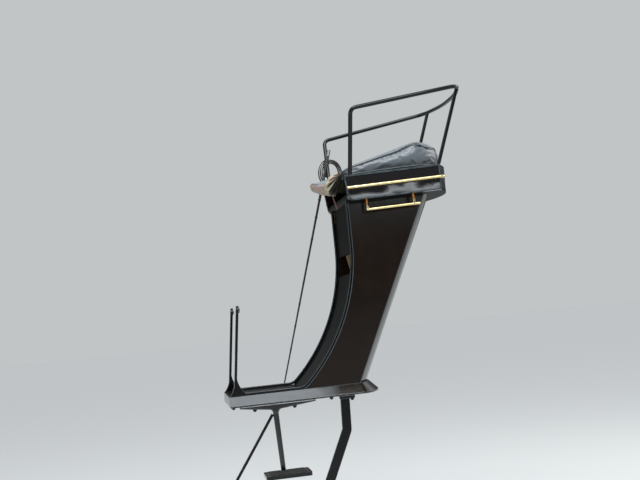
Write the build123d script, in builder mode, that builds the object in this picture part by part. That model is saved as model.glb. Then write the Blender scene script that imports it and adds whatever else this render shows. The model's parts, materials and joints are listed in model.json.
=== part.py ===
"""Driver's perch of a two-wheeled horse drawn carriage.

A footboard carries a hollow riser with a seat box on top.
Side irons sweep from the bolts on the body up the riser's front edges.
X runs rearwards, Y to the right hand side, Z up.
The origin is the middle of the footboard's front end face, which rests on the body.
"""
from math import atan2, cos, degrees, radians, sin, sqrt
import os

from build123d import *

os.makedirs("parts", exist_ok=True)

# footboard
board_thick = 36.0
board_lip = 2.0
board_corner = 14.0
moulding_run = 32.0
moulding_lip = 5.0
board_margin = 9.0

# riser
riser_half = 168.0
riser_foot_x = 463.0
riser_lean = 25.1
riser_bow = 48.0
riser_side_thick = 14.0
riser_skin = 9.0
riser_front_x = 478.0
riser_sweep_radius = 660.0
riser_sweep_height = 514.0
panel_recess = 2.0
pocket_low = 408.0
pocket_high = 482.0
pocket_shelf_drop = 14.0

# side irons
iron_thick = 9.0
iron_wide = 16.0
iron_toe_x = 22.0
iron_toe_radius = 18.0
iron_top_x = 58.0
iron_top_z = 330.0
iron_sweep_in = 45.0
iron_flare_high = 60.0
iron_flare_front = 20.0
iron_flare_rear = 36.0
iron_flare_radius = 85.0
iron_bolt_drop = 16.0
iron_bolt_hole = 9.0
iron_head_wide = 24.0

# seat box, in its own frame: it rises a little to the rear
seat_x = 472.0
seat_z = 657.0
seat_tilt = 2.35
seat_half = 227.0
seat_high = 91.5
seat_low_length = 341.0
seat_front_rake = 7.5
seat_rear_rake = 6.0
seat_bow = 64.0
seat_side_thick = 14.0
seat_wall = 10.0
seat_corner = 22.0
seat_top_corner = 9.0
bead_wide = 6.0
bead_proud = 2.5
lid_thick = 10.0
front_rail_high = 26.0
front_rail_deep = 32.0

# seat rail
rail_radius = 7.5
rail_foot_x = 26.0
rail_front_x = 504.0
rail_front_flare = 76.0
rail_front_z = 971.0
rail_rear_x = 914.0
rail_rear_flare = 15.0
rail_rear_z = 1040.0
rail_back_bow = 38.0
rail_straight_half = 97.0
rail_front_bend = 22.0
rail_rear_bend = 50.0
rail_bow_bend = 550.0
rear_post_x = 356.0
rear_post_inset = 24.0
rear_post_radius = 6.5

# brass rails
brass_radius = 5.0
brass_stand_off = 16.0
brass_height = 45.0
brass_front_x = 6.0
brass_turn_x = 366.0
brass_end_x = 358.0
brass_end_inset = 27.0
brass_corner = 18.0
brass_pin_front = 44.0
brass_pin_middle = 213.0
brass_pin_rear = 322.0
grab_radius = 4.5
grab_drop = 37.0
grab_front_x = 70.0
grab_rear_x = 245.0
grab_tail = 21.0
grab_inset = 15.0

# cushion
soft_gap = 0.3
cushion_inset = 21.0
cushion_front_high = 20.0
cushion_step_x = 41.0
cushion_step_high = 35.0
cushion_peak_x = 305.0
cushion_peak_high = 93.0
cushion_corner = 44.0
cushion_crown = 28.0
cushion_rear_gap = 7.0
nose_inset = 29.0
nose_reach = 58.0

# steps
step_out = 20.0
step_flange_thick = 18.0
step_flange_tip = 6.0
leg_fillet = 12.0
step_flange_wide = 30.0
step_flange_front = 31.0
step_flange_rear = 294.0
leg_top_x = 153.0
leg_low_x = 161.0
leg_top_radius = 10.0
leg_low_radius = 8.5
tread_long = 155.0
tread_wide = 124.0
tread_thick = 12.0
tread_top_z = -248.0
tread_front_x = 92.0
tread_corner = 12.0
pad_inset = 5.0
pad_high = 4.0
pad_ribs = 9
bar_wide = 32.0
bar_thick = 11.0
bar_bend = 24.0
bar_plate_thick = 10.0
bar_top_x = 399.0
bar_knee_x = 395.0
bar_knee_z = -136.0
bar_slope = 25.3
low_tread_z = -527.0
stay_radius = 5.0
stay_top_x = 142.0
stay_top_z = -54.0
stay_eye_x = -60.0
stay_eye_z = -348.0
stay_eye_radius = 14.0
stay_eye_hole = 11.0
stay_eye_thick = 12.0

# whip
whip_foot_x = 231.0
whip_long = 918.0
whip_contact = 0.45
whip_low_radius = 3.0
whip_high_radius = 5.5
whip_cap = 26.0
whip_sides = 16

# reins and strap
loop_place = 0.38
loop_shift = 18.0
loop_high = 112.0
loop_wide = 104.0
rein_wide = 22.0
strap_y = 150.0
strap_reach = 36.0
strap_long = 62.0
strap_wide = 16.0
strap_thick = 3.0

# sizes that follow from the ones above
board_half = riser_half + board_lip
cushion_half = seat_half - cushion_inset
nose_half = seat_half - nose_inset
grab_y = seat_half - grab_inset
rear_post_y = seat_half - rear_post_inset
step_y = board_half + step_out
riser_top_z = seat_z + 0.7 * seat_high

SIDES = (("left", -1), ("right", 1))

lean = (sin(radians(riser_lean)), 0, cos(radians(riser_lean)))
seat = Plane(
    origin=(seat_x, 0, seat_z),
    x_dir=(cos(radians(seat_tilt)), 0, sin(radians(seat_tilt))),
    z_dir=(-sin(radians(seat_tilt)), 0, cos(radians(seat_tilt))),
)


def upright_plane(y_high):
    """A plane across Y; what is extruded on it grows towards -Y from y_high."""
    return Plane.XZ.offset(-y_high)


def seat_side_plane(y_high):
    """The same in the seat box's tilted frame."""
    return Plane(origin=seat.from_local_coords((0, y_high, 0)), x_dir=seat.x_dir, z_dir=(0, -1, 0))


def high_side(side, inner, outer):
    """The higher Y of a slab that lies between two distances from the middle."""
    return outer if side > 0 else -inner


def save(part, name):
    part.label = name
    export_step(part, "parts/" + name + ".step")


def round_bar(edges, radius):
    """A round bar along lines and arcs."""
    with BuildPart() as bar:
        for edge in edges:
            with BuildSketch(Plane(origin=edge @ 0, z_dir=edge % 0)):
                Circle(radius)
            if edge.geom_type == GeomType.LINE:
                extrude(amount=edge.length)
            else:
                turn = (edge @ 0 - edge.arc_center).cross(edge % 0)
                revolve(axis=Axis(edge.arc_center, turn), revolution_arc=degrees(edge.length / edge.radius))
    return bar.part


def tapered_bar(low, high, low_radius, high_radius):
    """A round bar between two points, of another thickness at each end."""
    with BuildPart() as bar:
        with Locations(Plane(origin=low, z_dir=high - low)):
            Cone(low_radius, high_radius, (high - low).length, align=(Align.CENTER, Align.CENTER, Align.MIN))
    return bar.part


def seat_outline_from_below():
    """What lies over the seat box's underside, seen from the side; it is cut off what carries the box."""
    with BuildSketch(seat_side_plane(3 * seat_half)) as outline:
        with BuildLine():
            Polyline(
                (seat_front_rake, 0),
                (0, seat_high),
                (30 * seat_high, seat_high),
                (30 * seat_high, 0),
                close=True,
            )
        make_face()
        fillet(lower_front_corner(), seat_corner)
        with Locations((0, seat_corner / 2)):
            Rectangle(60 * seat_high, 20 * seat_high, align=(Align.CENTER, Align.MIN))
    return outline.sketch


def lower_front_corner():
    """The lower front corner of the outline in work."""
    return vertices().sort_by(Axis.Y)[:2].sort_by(Axis.X)[0]


def bowed_outline(front_x, rear_x, half, bow):
    """A plan with a straight front, straight sides and a bowed rear."""
    with BuildLine() as outline:
        Polyline((rear_x, half), (front_x, half), (front_x, -half), (rear_x, -half))
        ThreePointArc((rear_x, -half), (rear_x + bow, 0), (rear_x, half))
    return outline


# the line that the side iron follows, and its two curves
sweep_center_x = riser_front_x - riser_sweep_radius
mid_radius = riser_sweep_radius + iron_thick / 2
deck_z = board_thick / 2
rest_z = deck_z + iron_thick / 2
inner_reach = mid_radius - iron_sweep_in
blend_x = sweep_center_x + sqrt(inner_reach ** 2 - (riser_sweep_height - rest_z - iron_sweep_in) ** 2)
blend_z = rest_z + iron_sweep_in
stretch = mid_radius / inner_reach
meet_x = sweep_center_x + (blend_x - sweep_center_x) * stretch
meet_z = riser_sweep_height + (blend_z - riser_sweep_height) * stretch


def swept_edge(gap):
    """The riser's front edge, from the footboard up, gap behind the iron's middle line."""
    center = Vector(sweep_center_x, riser_sweep_height)
    blend = Vector(blend_x, blend_z)
    toward = (Vector(meet_x, meet_z) - center).normalized()
    meet = center + toward * (mid_radius + gap)
    bisect = (Vector(0, -1) + toward).normalized()
    quarter = (toward + Vector(1, 0)).normalized()
    with BuildLine() as edge:
        ThreePointArc(
            (blend_x, blend_z - iron_sweep_in - gap),
            blend + bisect * (iron_sweep_in + gap),
            meet,
        )
        ThreePointArc(
            meet,
            center + quarter * (mid_radius + gap),
            (sweep_center_x + mid_radius + gap, riser_sweep_height),
        )
        Line(
            (sweep_center_x + mid_radius + gap, riser_sweep_height),
            (sweep_center_x + mid_radius + gap, riser_top_z),
        )
    return edge


def rear_x_at(z):
    return riser_foot_x + (z - deck_z) * lean[0] / lean[2]


# footboard and its moulded edge
board_rear_x = riser_foot_x + board_margin
with BuildPart() as footboard:
    with BuildSketch(Plane.XY.offset(deck_z)):
        add(bowed_outline(0, board_rear_x, board_half, riser_bow).line)
        make_face()
        fillet(vertices().sort_by(Axis.X)[2:], board_corner)
    extrude(amount=-board_thick)
save(footboard.part, "footboard")

with BuildPart() as moulding:
    with BuildSketch(Plane.XY.offset(deck_z - board_thick)) as foot_outline:
        add(bowed_outline(-2 * board_half, board_rear_x, board_half, riser_bow).line)
        make_face()
        fillet(vertices().sort_by(Axis.X)[2:], board_corner)
        offset(amount=moulding_run, kind=Kind.ARC)
    extrude(amount=moulding_lip)
    with BuildSketch(Plane.XY.offset(deck_z - board_thick + moulding_lip)):
        add(foot_outline.sketch)
    rise = board_thick - moulding_lip
    extrude(amount=rise, taper=degrees(atan2(moulding_run, rise)) - 0.5)
    add(footboard.part, mode=Mode.SUBTRACT)
    with BuildSketch(Plane.YZ):
        Rectangle(6 * board_half, 6 * board_thick)
    extrude(amount=-6 * board_half, mode=Mode.SUBTRACT)
save(moulding.part, "footboard_moulding")

# side irons: one bar from the bolt on the body to the seat box
for hand, side in SIDES:
    with BuildPart() as side_iron:
        y_high = high_side(side, riser_half - iron_wide, riser_half)
        with BuildSketch(upright_plane(y_high)):
            with BuildLine() as middle:
                FilletPolyline(
                    (iron_top_x, iron_top_z),
                    (iron_toe_x, rest_z),
                    (blend_x, rest_z),
                    radius=iron_toe_radius,
                )
                add(swept_edge(0).line)
            trace(line_width=iron_thick)
        extrude(amount=iron_wide)
        slope = (iron_top_x - iron_toe_x) / (iron_top_z - rest_z)
        flare_z = deck_z + iron_flare_high
        flare_x = iron_toe_x + slope * (flare_z - rest_z)
        with BuildSketch(upright_plane(y_high)):
            with BuildLine():
                Line((iron_toe_x + iron_flare_rear, deck_z), (iron_toe_x - iron_flare_front, deck_z))
                RadiusArc(
                    (iron_toe_x - iron_flare_front, deck_z),
                    (flare_x - iron_thick / 2, flare_z),
                    -iron_flare_radius,
                )
                Line((flare_x - iron_thick / 2, flare_z), (flare_x + iron_thick / 2, flare_z))
                RadiusArc(
                    (flare_x + iron_thick / 2, flare_z),
                    (iron_toe_x + iron_flare_rear, deck_z + iron_thick),
                    -iron_flare_radius,
                )
                Line(
                    (iron_toe_x + iron_flare_rear, deck_z + iron_thick),
                    (iron_toe_x + iron_flare_rear, deck_z),
                )
            make_face()
        extrude(amount=iron_wide)
        extrude(seat_outline_from_below(), amount=6 * seat_half, mode=Mode.SUBTRACT)
        bolt_z = iron_top_z - iron_bolt_drop
        bolt_x = iron_toe_x + slope * (bolt_z - rest_z)
        head_plane = Plane(
            origin=(bolt_x, side * (riser_half - iron_wide / 2), bolt_z),
            x_dir=(0, 1, 0),
            z_dir=(cos(atan2(slope, 1)), 0, -sin(atan2(slope, 1))),
        )
        with BuildSketch(head_plane.offset(-iron_thick / 2)):
            Circle(iron_head_wide / 2)
        extrude(amount=iron_thick)
        with BuildSketch(head_plane.offset(-3 * iron_thick)):
            Circle(iron_bolt_hole / 2)
        extrude(amount=6 * iron_thick, mode=Mode.SUBTRACT)
    save(side_iron.part, "side_iron_" + hand)

# riser sides behind the irons
toe_cut = 20.0
for hand, side in SIDES:
    with BuildPart() as riser_side:
        y_high = high_side(side, riser_half - riser_side_thick, riser_half)
        with BuildSketch(upright_plane(y_high)):
            with BuildLine():
                add(swept_edge(iron_thick / 2).line)
                Polyline(
                    (riser_front_x + iron_thick, riser_top_z),
                    (rear_x_at(riser_top_z), riser_top_z),
                    (riser_foot_x, deck_z),
                    (blend_x, deck_z),
                )
            make_face()
        extrude(amount=riser_side_thick)
        with BuildSketch(upright_plane(y_high)):
            with Locations((blend_x, deck_z)):
                Rectangle(2 * toe_cut, 4 * toe_cut)
        extrude(amount=riser_side_thick, mode=Mode.SUBTRACT)
        extrude(seat_outline_from_below(), amount=6 * seat_half, mode=Mode.SUBTRACT)
    save(riser_side.part, "riser_side_" + hand)

# riser front: a curved lower panel and a flat upper one, with the pocket between them
inner_half = riser_half - riser_side_thick
skin_radius = riser_sweep_radius + iron_thick + panel_recess
with BuildPart() as lower_panel:
    with BuildSketch(upright_plane(inner_half)):
        with Locations((sweep_center_x, riser_sweep_height)):
            Circle(skin_radius + riser_skin)
            Circle(skin_radius, mode=Mode.SUBTRACT)
        with Locations((sweep_center_x + skin_radius, (deck_z + pocket_low) / 2)):
            Rectangle(2 * skin_radius, pocket_low - deck_z, mode=Mode.INTERSECT)
    extrude(amount=2 * inner_half)
save(lower_panel.part, "riser_front_lower")

with BuildPart() as upper_panel:
    with BuildSketch(upright_plane(inner_half)):
        with Locations((sweep_center_x + skin_radius, pocket_high)):
            Rectangle(riser_skin, riser_top_z - pocket_high, align=(Align.MIN, Align.MIN))
    extrude(amount=2 * inner_half)
    extrude(seat_outline_from_below(), amount=6 * seat_half, mode=Mode.SUBTRACT)
save(upper_panel.part, "riser_front_upper")

# riser back: a skin that bows rearwards and leans with the sides
with BuildPart() as riser_back:
    with BuildSketch(Plane.XY.offset(deck_z)):
        with BuildLine():
            ThreePointArc(
                (riser_foot_x, -riser_half),
                (riser_foot_x + riser_bow, 0),
                (riser_foot_x, riser_half),
            )
            Line((riser_foot_x, riser_half), (riser_foot_x, -riser_half))
        make_face()
        with BuildLine():
            ThreePointArc(
                (riser_foot_x, -inner_half),
                (riser_foot_x + riser_bow - riser_skin, 0),
                (riser_foot_x, inner_half),
            )
            Line((riser_foot_x, inner_half), (riser_foot_x, -inner_half))
        make_face(mode=Mode.SUBTRACT)
    extrude(amount=(riser_top_z - deck_z) / lean[2], dir=lean)
    extrude(seat_outline_from_below(), amount=6 * seat_half, mode=Mode.SUBTRACT)
save(riser_back.part, "riser_back")

# the pocket's shelf
shelf_z = pocket_low - pocket_shelf_drop
shelf_front_x = sweep_center_x + sqrt((skin_radius + riser_skin) ** 2 - (riser_sweep_height - shelf_z) ** 2)
with BuildPart() as shelf:
    with BuildSketch(Plane.XY.offset(shelf_z)):
        with Locations((shelf_front_x + soft_gap, 0)):
            Rectangle(
                rear_x_at(shelf_z) - riser_skin - shelf_front_x - soft_gap,
                2 * inner_half,
                align=(Align.MIN, Align.CENTER),
            )
    extrude(amount=-riser_skin)
save(shelf.part, "pocket_shelf")

# seat box
side_top_length = seat_front_rake + seat_low_length + seat_rear_rake
box_inner = seat_half - seat_side_thick
rear_low_x = seat_front_rake + seat_low_length
floor_front_x = seat_front_rake + front_rail_deep


def seat_vector(x, y, z):
    """A direction given in the seat box's frame."""
    return seat.x_dir * x + Vector(0, y, 0) + seat.z_dir * z


rake_length = sqrt(seat_rear_rake ** 2 + seat_high ** 2)
rake = seat_vector(seat_rear_rake, 0, seat_high)
for hand, side in SIDES:
    with BuildPart() as seat_side:
        y_high = high_side(side, box_inner, seat_half)
        with BuildSketch(seat_side_plane(y_high)):
            with BuildLine():
                Polyline(
                    (seat_front_rake, 0),
                    (0, seat_high),
                    (side_top_length, seat_high),
                    (rear_low_x, 0),
                    close=True,
                )
            make_face()
            fillet(lower_front_corner(), seat_corner)
            fillet(vertices().sort_by(Axis.Y)[-2:].sort_by(Axis.X)[0], seat_top_corner)
        extrude(amount=seat_side_thick)
    save(seat_side.part, "seat_side_" + hand)
    with BuildPart() as bead:
        y_high = high_side(side, seat_half, seat_half + bead_proud)
        with BuildSketch(seat_side_plane(y_high)):
            with BuildLine():
                Polyline(
                    (seat_front_rake, 0),
                    (0, seat_high),
                    (side_top_length, seat_high),
                    (rear_low_x, 0),
                    close=True,
                )
            make_face()
            fillet(lower_front_corner(), seat_corner)
            fillet(vertices().sort_by(Axis.Y)[-2:].sort_by(Axis.X)[0], seat_top_corner)
            offset(amount=-bead_wide, mode=Mode.SUBTRACT)
        extrude(amount=bead_proud)
    save(bead.part, "seat_bead_" + hand)

with BuildPart() as seat_floor:
    with BuildSketch(seat):
        add(bowed_outline(floor_front_x, rear_low_x, box_inner, seat_bow).line)
        make_face()
    extrude(amount=seat_wall * rake_length / seat_high, dir=rake)
    with BuildSketch(seat_side_plane(box_inner)):
        Rectangle(2 * floor_front_x, 4 * seat_high)
    extrude(amount=2 * box_inner, mode=Mode.SUBTRACT)
save(seat_floor.part, "seat_floor")

with BuildPart() as seat_front:
    with BuildSketch(seat_side_plane(box_inner)):
        with BuildLine():
            Polyline(
                (seat_front_rake, 0),
                (seat_front_rake * (1 - front_rail_high / seat_high), front_rail_high),
                (floor_front_x, front_rail_high),
                (floor_front_x, 0),
                close=True,
            )
        make_face()
        fillet(lower_front_corner(), seat_corner)
    extrude(amount=2 * box_inner)
save(seat_front.part, "seat_front")

with BuildPart() as seat_back:
    floor_rise = seat_wall / seat_high
    back_x = rear_low_x + seat_rear_rake * floor_rise
    with BuildSketch(seat.offset(seat_wall)):
        with BuildLine():
            ThreePointArc((back_x, -box_inner), (back_x + seat_bow, 0), (back_x, box_inner))
            Line((back_x, box_inner), (back_x - seat_wall, box_inner))
            ThreePointArc(
                (back_x - seat_wall, box_inner),
                (back_x - seat_wall + seat_bow, 0),
                (back_x - seat_wall, -box_inner),
            )
            Line((back_x - seat_wall, -box_inner), (back_x, -box_inner))
        make_face()
    extrude(amount=rake_length * (1 - floor_rise), dir=rake)
save(seat_back.part, "seat_back")

with BuildPart() as seat_lid:
    lid_rise = (seat_high - lid_thick) / seat_high
    lid_rear_x = rear_low_x + seat_rear_rake * lid_rise - seat_wall - soft_gap
    with BuildSketch(seat.offset(seat_high - lid_thick)):
        add(bowed_outline(seat_corner + soft_gap, lid_rear_x, box_inner - soft_gap, seat_bow).line)
        make_face()
    extrude(amount=lid_thick)
save(seat_lid.part, "seat_lid")

# seat rail: front posts, side bars, a bowed back bar and two rear posts
foot = seat.from_local_coords((rail_foot_x, 0, seat_high))
foot_y = seat_half - seat_side_thick / 2
rail_front = Vector(rail_front_x, -seat_half - rail_front_flare, rail_front_z)
rail_rear = Vector(rail_rear_x, -seat_half - rail_rear_flare, rail_rear_z)
with BuildLine() as rail_path:
    FilletPolyline(
        (foot.X, -foot_y, foot.Z),
        rail_front,
        rail_rear,
        (rail_rear_x + rail_back_bow, -rail_straight_half, rail_rear_z),
        (rail_rear_x + rail_back_bow, 0, rail_rear_z),
        radius=(rail_front_bend, rail_rear_bend, rail_bow_bend),
    )
rail_edges = rail_path.edges().sort_by(rail_path.wire())


def rod(first, last, radius):
    """A round bar along part of the left half of the rail's path."""
    return round_bar(rail_edges[first:last], radius)


for hand, side in SIDES:
    with BuildPart() as front_post:
        add(rod(0, 2, rail_radius))
        if side > 0:
            mirror(about=Plane.XZ, mode=Mode.REPLACE)
        with BuildSketch(seat.offset(seat_high)):
            Rectangle(8 * seat_half, 8 * seat_half)
        extrude(amount=-seat_high, mode=Mode.SUBTRACT)
    save(front_post.part, "rail_front_post_" + hand)
    with BuildPart() as side_bar:
        add(rod(2, 3, rail_radius))
        if side > 0:
            mirror(about=Plane.XZ, mode=Mode.REPLACE)
    save(side_bar.part, "rail_side_bar_" + hand)
    with BuildPart() as rear_post:
        corner = rail_edges[3] @ 1
        base = seat.from_local_coords((rear_post_x, -rear_post_y, seat_high))
        along = (corner - base).normalized()
        start = base - along * 2 * rear_post_radius
        with BuildSketch(Plane(origin=start, z_dir=along)):
            Circle(rear_post_radius)
        extrude(amount=(corner - start).length)
        with BuildSketch(seat.offset(seat_high)):
            Rectangle(8 * seat_half, 8 * seat_half)
        extrude(amount=-seat_high, mode=Mode.SUBTRACT)
        add(rod(3, 5, rail_radius), mode=Mode.SUBTRACT)
        if side > 0:
            mirror(about=Plane.XZ, mode=Mode.REPLACE)
    save(rear_post.part, "rail_rear_post_" + hand)

with BuildPart() as rail_back_bar:
    add(rod(3, 7, rail_radius))
    mirror(about=Plane.XZ)
save(rail_back_bar.part, "rail_back_bar")

# brass rails along the seat box's sides, each with its rear end turned in to the box's back
brass_y = seat_half + brass_stand_off
for hand, side in SIDES:
    with BuildLine(seat.offset(brass_height)) as brass_path:
        FilletPolyline(
            (brass_front_x, side * brass_y),
            (brass_turn_x, side * brass_y),
            (brass_end_x, side * (seat_half - brass_end_inset)),
            radius=brass_corner,
        )
    with BuildPart() as brass_rail:
        add(round_bar(brass_path.edges().sort_by(brass_path.wire()), brass_radius))
        add(seat_back.part, mode=Mode.SUBTRACT)
    save(brass_rail.part, "brass_rail_" + hand)

# brass pins that hold the rail off the box, and the low grab rails
for hand, side in SIDES:
    with BuildPart() as pins:
        with BuildSketch(seat_side_plane(high_side(side, seat_half, brass_y))):
            with Locations(*[(x, brass_height) for x in (brass_pin_front, brass_pin_middle, brass_pin_rear)]):
                Circle(0.7 * brass_radius)
        extrude(amount=brass_stand_off)
        rail_start = seat.from_local_coords((0, side * brass_y, brass_height))
        with BuildSketch(Plane(origin=rail_start, z_dir=seat.x_dir)):
            Circle(brass_radius)
        extrude(amount=2 * side_top_length, mode=Mode.SUBTRACT)
    save(pins.part, "brass_pins_" + hand)
    with BuildPart() as grab:
        with BuildSketch(Plane(origin=seat.from_local_coords((grab_front_x, side * grab_y, -grab_drop)),
                               z_dir=seat.x_dir)):
            Circle(grab_radius)
        extrude(amount=grab_rear_x + grab_tail - grab_front_x)
        for arm_x in (grab_front_x + grab_radius, grab_rear_x):
            with BuildSketch(Plane(origin=seat.from_local_coords((arm_x, side * grab_y, -grab_drop)),
                                   z_dir=seat.z_dir)):
                Circle(grab_radius)
            extrude(amount=grab_drop)
    save(grab.part, "grab_rail_" + hand)

# cushion and its overhanging front
cushion_rear_x = side_top_length - seat_wall - cushion_rear_gap
with BuildPart() as cushion:
    with BuildSketch(seat.offset(seat_high + soft_gap)):
        add(bowed_outline(0, cushion_rear_x, cushion_half, seat_bow).line)
        make_face()
        fillet(vertices().sort_by(Axis.X)[2:], cushion_corner)
    extrude(amount=2 * cushion_peak_high)
    with BuildSketch(seat_side_plane(cushion_half)):
        with BuildLine():
            Polyline(
                (0, seat_high),
                (0, seat_high + cushion_front_high),
                (cushion_step_x, seat_high + cushion_step_high),
                (cushion_peak_x, seat_high + cushion_peak_high),
                (cushion_rear_x + 2 * seat_bow, seat_high + cushion_peak_high),
                (cushion_rear_x + 2 * seat_bow, seat_high),
                close=True,
            )
        make_face()
    extrude(amount=2 * cushion_half, mode=Mode.INTERSECT)
    top_rear = cushion.faces().sort_by(Axis.Z)[-1]
    crown_edges = [e for e in top_rear.edges() if (e @ 0.5).X > seat_x + cushion_peak_x + 1]
    chamfer(crown_edges, cushion_crown)
save(cushion.part, "cushion")

# the flap's section at the left and at the right end: how far forwards, how high over the rim
near_section = ((0, 1.0), (0, -1.4), (24, -2.8), (52, -1.75), (58, -0.4), (34, 1.4))
far_section = ((0, 1.0), (0, -0.1), (22, 0.4), (50, 1.1), (56, 1.6), (30, 1.9))
with BuildPart() as nose:
    for flap_y, section in ((-nose_half, near_section), (nose_half, far_section)):
        with BuildSketch(seat_side_plane(flap_y)):
            with BuildLine():
                Polyline(
                    *[
                        (-soft_gap - nose_reach * reach / 58, seat_high + cushion_front_high * high)
                        for reach, high in section
                    ],
                    close=True,
                )
            make_face()
    loft(ruled=True)
save(nose.part, "cushion_front")


def tread(front_x, top_z, inner_y):
    """A step tread with rounded corners and a sunk field for its pad."""
    with BuildPart() as plate:
        with BuildSketch(Plane.XY.offset(top_z)):
            with Locations((front_x + tread_long / 2, -inner_y - tread_wide / 2)):
                RectangleRounded(tread_long, tread_wide, tread_corner)
        extrude(amount=-tread_thick)
        with BuildSketch(Plane.XY.offset(top_z)):
            with Locations((front_x + tread_long / 2, -inner_y - tread_wide / 2)):
                RectangleRounded(
                    tread_long - 2 * pad_inset, tread_wide - 2 * pad_inset, tread_corner - pad_inset
                )
        extrude(amount=-pad_high, mode=Mode.SUBTRACT)
    return plate.part


def tread_pad(front_x, top_z, inner_y):
    """The ribbed rubber pad that lies in the tread."""
    field_long = tread_long - 2 * pad_inset
    field_wide = tread_wide - 2 * pad_inset
    pitch = field_wide / pad_ribs
    with BuildPart() as pad:
        with BuildSketch(Plane.XY.offset(top_z - pad_high)):
            with Locations((front_x + tread_long / 2, -inner_y - tread_wide / 2)):
                RectangleRounded(field_long, field_wide, tread_corner - pad_inset)
        extrude(amount=pad_high)
        with BuildSketch(Plane.XY.offset(top_z + pad_high / 2)):
            with Locations((front_x + tread_long / 2, -inner_y - tread_wide / 2)):
                with GridLocations(0, pitch, 1, pad_ribs):
                    Rectangle(field_long - 2 * tread_corner, pitch / 2)
        extrude(amount=-pad_high / 2)
    return pad.part


# T shaped step iron with the upper tread
under_z = deck_z - board_thick
tread_inner_y = step_y - leg_low_radius - pad_inset
with BuildPart() as step_iron:
    with BuildSketch(upright_plane(-step_y + step_flange_wide / 2)):
        with BuildLine():
            flange_z = under_z - step_flange_thick
            fillet_x = leg_top_radius + leg_fillet
            Polyline(
                (leg_top_x - fillet_x, flange_z),
                (step_flange_front, under_z - step_flange_tip),
                (step_flange_front, under_z),
                (step_flange_rear, under_z),
                (step_flange_rear, under_z - step_flange_tip),
                (leg_top_x + fillet_x, flange_z),
            )
            RadiusArc(
                (leg_top_x + fillet_x, flange_z),
                (leg_top_x + leg_top_radius, flange_z - leg_fillet),
                -leg_fillet,
            )
            Line(
                (leg_top_x + leg_top_radius, flange_z - leg_fillet),
                (leg_top_x - leg_top_radius, flange_z - leg_fillet),
            )
            RadiusArc(
                (leg_top_x - leg_top_radius, flange_z - leg_fillet),
                (leg_top_x - fillet_x, flange_z),
                -leg_fillet,
            )
        make_face()
    extrude(amount=step_flange_wide)
    leg_base = Vector(leg_low_x, -step_y, tread_top_z)
    leg_head = Vector(leg_top_x, -step_y, under_z - step_flange_thick)
    add(tapered_bar(leg_base, leg_head, leg_low_radius, leg_top_radius))
    with BuildSketch(Plane.XY.offset(tread_top_z)):
        Rectangle(20 * tread_long, 20 * tread_wide)
    extrude(amount=-tread_thick - leg_low_radius, mode=Mode.SUBTRACT)
save(step_iron.part, "step_iron")

with BuildPart() as upper_tread:
    add(tread(tread_front_x, tread_top_z, tread_inner_y))
    with BuildSketch(Plane.XY.offset(tread_top_z)):
        with Locations((leg_low_x, -step_y)):
            Circle(leg_low_radius + pad_inset)
    extrude(amount=-tread_thick)
save(upper_tread.part, "upper_tread")
with BuildPart() as upper_pad:
    add(tread_pad(tread_front_x, tread_top_z, tread_inner_y))
    with BuildSketch(Plane.XY.offset(tread_top_z - 2 * pad_high)):
        with Locations((leg_low_x, -step_y)):
            Circle(leg_low_radius + pad_inset)
    extrude(amount=4 * pad_high, mode=Mode.SUBTRACT)
save(upper_pad.part, "upper_tread_pad")

# flat bar that bends forwards and down to the lower tread
fall = bar_knee_z - low_tread_z
low_x = bar_knee_x - fall * sin(radians(bar_slope)) / cos(radians(bar_slope))
low_tread_front = low_x - tread_long / 2
low_inner_y = step_y - bar_thick
with BuildPart() as bent_bar:
    with BuildSketch(upright_plane(-step_y + bar_thick / 2)):
        with BuildLine():
            FilletPolyline(
                (bar_top_x, under_z - bar_plate_thick / 2),
                (bar_knee_x, bar_knee_z),
                (low_x, low_tread_z - tread_thick),
                radius=bar_bend,
            )
        trace(line_width=bar_wide)
    extrude(amount=bar_thick)
    with BuildSketch(Plane.XY.offset(low_tread_z)):
        Rectangle(20 * tread_long, 20 * tread_wide)
    extrude(amount=-4 * bar_wide, mode=Mode.SUBTRACT)
    with BuildSketch(Plane.XY.offset(under_z)):
        with Locations((bar_top_x + bar_wide / 4, -step_y)):
            RectangleRounded(1.7 * bar_wide, step_flange_wide, step_flange_wide / 4)
    extrude(amount=-bar_plate_thick)
    with BuildSketch(Plane.XY.offset(under_z)):
        Rectangle(20 * tread_long, 20 * tread_wide)
    extrude(amount=2 * bar_wide, mode=Mode.SUBTRACT)
save(bent_bar.part, "bent_step_iron")
with BuildPart() as lower_tread:
    add(tread(low_tread_front, low_tread_z, low_inner_y))
    with BuildSketch(Plane.XY.offset(low_tread_z)):
        with Locations((low_x, -step_y)):
            Rectangle(bar_wide + 4 * pad_inset, bar_thick + 2 * pad_inset)
    extrude(amount=-tread_thick)
save(lower_tread.part, "lower_tread")
with BuildPart() as lower_pad:
    add(tread_pad(low_tread_front, low_tread_z, low_inner_y))
    with BuildSketch(Plane.XY.offset(low_tread_z - 2 * pad_high)):
        with Locations((low_x, -step_y)):
            Rectangle(bar_wide + 4 * pad_inset, bar_thick + 2 * pad_inset)
    extrude(amount=4 * pad_high, mode=Mode.SUBTRACT)
save(lower_pad.part, "lower_tread_pad")

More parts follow.
